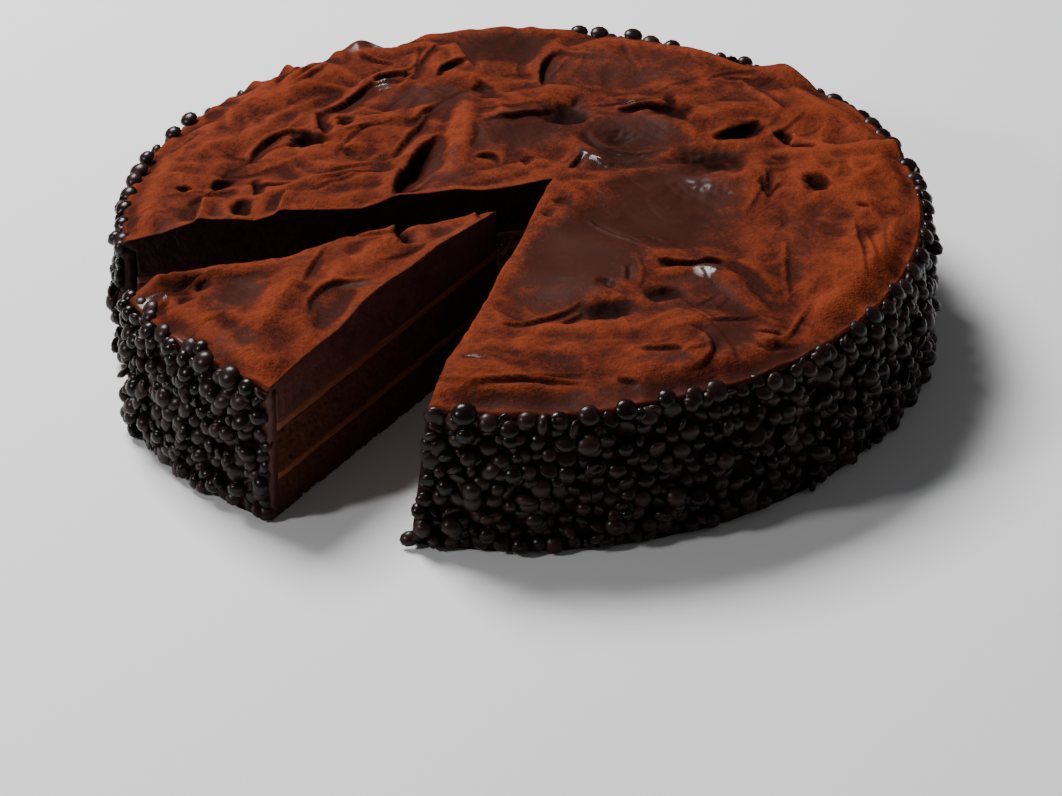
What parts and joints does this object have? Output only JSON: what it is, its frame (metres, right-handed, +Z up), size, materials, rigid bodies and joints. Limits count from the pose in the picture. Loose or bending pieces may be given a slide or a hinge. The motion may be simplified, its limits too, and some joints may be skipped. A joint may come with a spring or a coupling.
{
  "type": "fudge cake",
  "caption": "Round layered fudge cake with a swirled, cocoa-dusted top, chocolate drops round the side and one slice pulled out.",
  "frame": {"origin": "middle of the cake's underside, on the surface it stands on", "axes": "+Z up through the layers; the pulled slice lies towards -X and -Y"},
  "size_m": [0.2519, 0.2496, 0.0485],
  "materials": {
    "sponge": "matte, crumbly",
    "filling": "satin, creamy",
    "fudge": "satin fudge dusted with cocoa",
    "drops": "semi-gloss dark chocolate"
  },
  "bodies": {
    "root": {"cake_lower_sponge": "sponge", "cake_lower_filling": "filling", "cake_upper_sponge": "sponge", "cake_upper_filling": "filling", "cake_fudge_top": "fudge", "cake_side_coat": "drops", "slice_lower_sponge": "sponge", "slice_lower_filling": "filling", "slice_upper_sponge": "sponge", "slice_upper_filling": "filling", "slice_fudge_top": "fudge", "slice_side_coat": "drops"}
  },
  "joints": []
}
